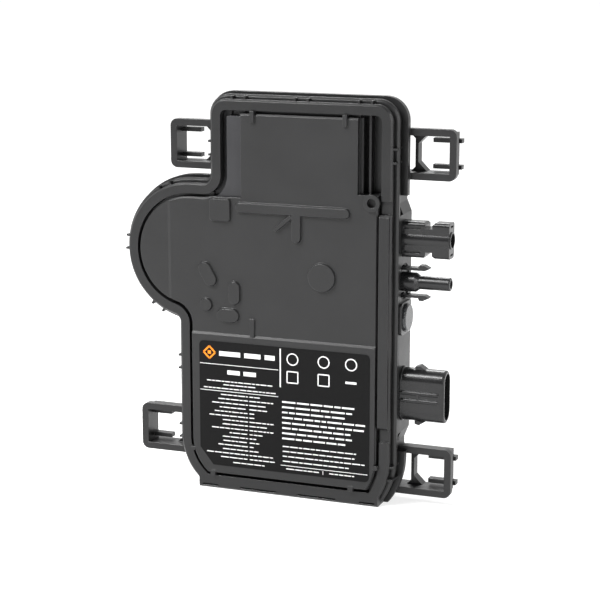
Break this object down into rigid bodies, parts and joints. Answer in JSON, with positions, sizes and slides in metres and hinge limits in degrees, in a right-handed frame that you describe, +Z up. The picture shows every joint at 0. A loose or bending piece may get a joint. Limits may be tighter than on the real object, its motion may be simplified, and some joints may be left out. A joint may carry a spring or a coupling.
{
  "type": "micro inverter",
  "caption": "Flat potted module inverter with a round transformer chamber, hollow mounting ears, a DC plug and socket with latch arms, a status window and an AC outlet on one side.",
  "frame": {"origin": "middle of the flat rear face, on the upper body's centre line and halfway between the flange's top and the foot lip", "axes": "+X towards the connectors, -Y out of the front face, +Z up"},
  "size_m": [0.1798, 0.0307, 0.212],
  "materials": {
    "case_polymer": "fine-textured satin",
    "cover_polymer": "fine-textured satin",
    "panel_polymer": "fine-textured satin",
    "label_film": "printed film, matte",
    "seal_rubber": "smooth",
    "connector_polymer": "moulded, semi-gloss",
    "connector_insert": "moulded",
    "contact_brass": "tinned",
    "lens_clear": "clear moulded",
    "resin": "cast resin",
    "board_laminate": "solder-masked laminate",
    "ferrite": "sintered, ground",
    "bobbin_polymer": "moulded",
    "copper_wire": "enamelled copper",
    "can_aluminium": "drawn",
    "film_box": "moulded box",
    "chip_package": "moulded package",
    "chip_ceramic": "fired ceramic",
    "pad_silicone": "soft pad",
    "spreader_aluminium": "rolled plate",
    "varistor_coat": "dipped epoxy",
    "fuse_body": "ceramic tube",
    "led_body": "moulded"
  },
  "bodies": {
    "housing": {"ac_fuse": "fuse_body", "ac_insulator": "connector_insert", "ac_leads": "contact_brass", "ac_pins": "contact_brass", "ac_seal": "seal_rubber", "ac_shroud": "connector_polymer", "ac_transistors": "chip_package", "chip_capacitors": "chip_ceramic", "choke_base": "bobbin_polymer", "choke_core": "ferrite", "choke_windings": "copper_wire", "communication_chip": "chip_package", "controller_chip": "chip_package", "cover_seal": "seal_rubber", "current_shunt": "chip_package", "dc_slim_lead": "contact_brass", "dc_slim_nose": "connector_polymer", "dc_slim_seal": "seal_rubber", "dc_slim_socket": "contact_brass", "dc_transistors": "chip_package", "dc_wide_housing": "connector_polymer", "dc_wide_lead": "contact_brass", "dc_wide_pin": "contact_brass", "dc_wide_seal": "seal_rubber", "film_capacitors": "film_box", "front_cover": "cover_polymer", "front_panel": "panel_polymer", "gate_drivers": "chip_package", "heat_spreader": "spreader_aluminium", "input_capacitors": "can_aluminium", "lens_bezel": "connector_polymer", "main_board": "board_laminate", "potting_compound": "resin", "primary_winding": "copper_wire", "rating_label": "label_film", "rear_case": "case_polymer", "secondary_winding": "copper_wire", "status_led": "led_body", "status_lens": "lens_clear", "surge_varistor": "varistor_coat", "thermal_pads": "pad_silicone", "transformer_bobbin": "bobbin_polymer", "transformer_core_front": "ferrite", "transformer_core_rear": "ferrite"},
    "upper_arm": {"latch_arm_upper": "connector_polymer"},
    "lower_arm": {"latch_arm_lower": "connector_polymer"}
  },
  "joints": [
    {"name": "upper_arm_flex", "type": "hinge", "parent": "housing", "child": "upper_arm", "pos_m": [0.0481, -0.0135, 0.01865], "axis": [0, 1, 0], "range_deg": [0, 6], "stiffness_Nm_per_rad": 0.55},
    {"name": "lower_arm_flex", "type": "hinge", "parent": "housing", "child": "lower_arm", "pos_m": [0.0481, -0.0135, 0.00445], "axis": [0, -1, 0], "range_deg": [0, 6], "stiffness_Nm_per_rad": 0.55}
  ]
}
